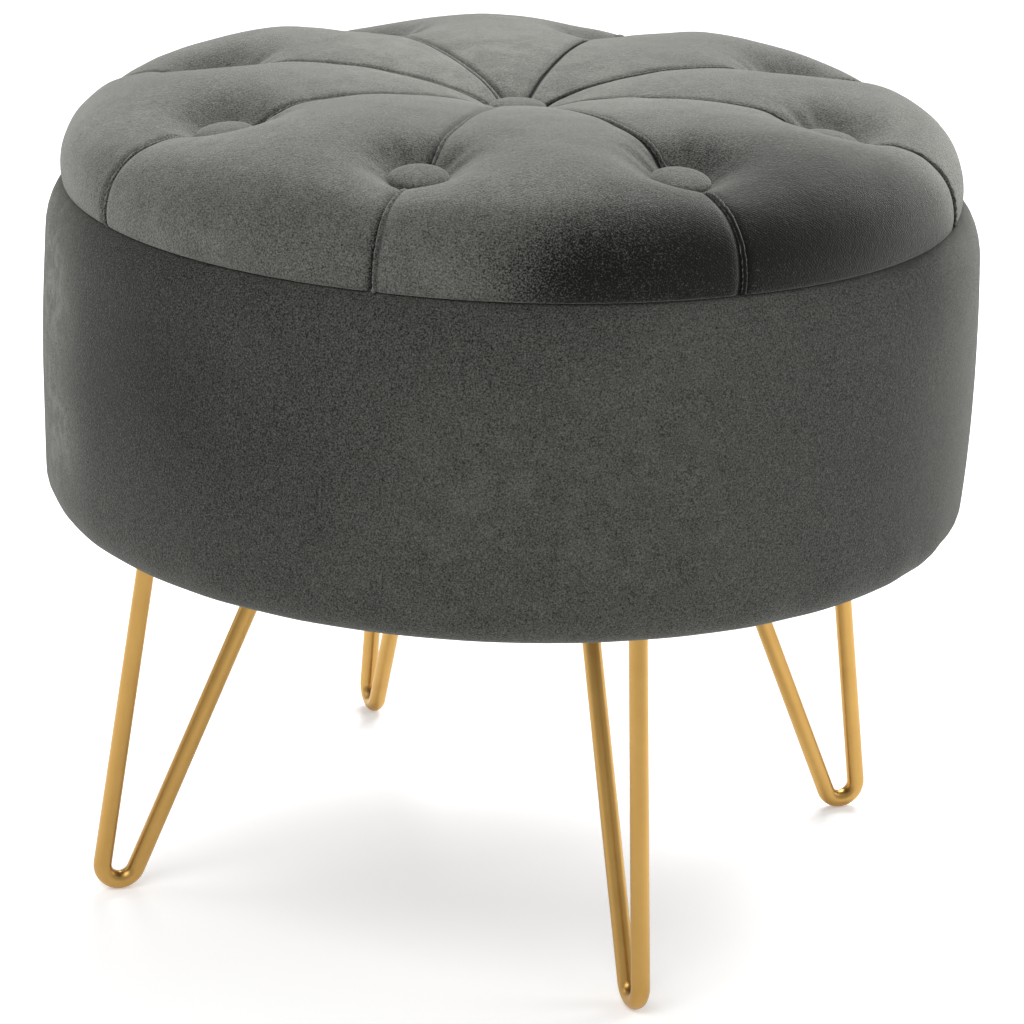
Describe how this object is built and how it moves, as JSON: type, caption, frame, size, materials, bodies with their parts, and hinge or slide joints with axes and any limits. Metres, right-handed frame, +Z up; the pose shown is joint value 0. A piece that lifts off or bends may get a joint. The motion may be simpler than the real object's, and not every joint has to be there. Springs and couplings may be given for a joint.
{
  "type": "storage ottoman",
  "caption": "Round storage ottoman: an upholstered drum with a tufted, cushioned lift-off lid, standing on hairpin legs.",
  "frame": {"origin": "on the floor under the drum's axis", "axes": "+Z up along the drum's axis; the hairpin legs stand on the X and Y axes"},
  "size_m": [0.4799, 0.48, 0.4291],
  "materials": {
    "velvet": "dark grey short-pile velvet",
    "foam": "open-cell upholstery foam",
    "plywood": "bare birch plywood",
    "lining": "black non-woven lining",
    "dust_cloth": "black non-woven dust cloth",
    "gold": "satin gold plating over steel rod",
    "zinc_steel": "zinc-plated steel",
    "black_steel": "black oxide steel",
    "twine": "waxed nylon tufting twine"
  },
  "bodies": {
    "base": {"side_cover": "velvet", "wall_foam": "foam", "drum_wall": "plywood", "rim_ring": "plywood", "base_board": "plywood", "wall_lining": "lining", "floor_lining": "lining", "dust_cover": "dust_cloth", "cover_staples": "zinc_steel", "leg_bolts": "black_steel", "tee_nuts": "zinc_steel", "hairpin_front": "gold", "hairpin_right": "gold", "hairpin_back": "gold", "hairpin_left": "gold", "leg_plate_front": "gold", "leg_plate_right": "gold", "leg_plate_back": "gold", "leg_plate_left": "gold"},
    "lid": {"lid_foam": "foam", "lid_board": "plywood", "lid_locator": "plywood", "lid_lining": "lining", "lid_screws": "black_steel", "tufting_washers": "zinc_steel", "tufting_twines": "twine", "lid_panel_1": "velvet", "lid_panel_2": "velvet", "lid_panel_3": "velvet", "lid_panel_4": "velvet", "lid_panel_5": "velvet", "lid_panel_6": "velvet", "lid_panel_7": "velvet", "lid_panel_8": "velvet", "button_centre": "velvet", "button_1": "velvet", "button_2": "velvet", "button_3": "velvet", "button_4": "velvet", "button_5": "velvet", "button_6": "velvet", "button_7": "velvet", "button_8": "velvet"}
  },
  "joints": [
    {"name": "lid_lift", "type": "slide", "parent": "base", "child": "lid", "axis": [0, 0, 1], "range_m": [0, 0.15]}
  ]
}
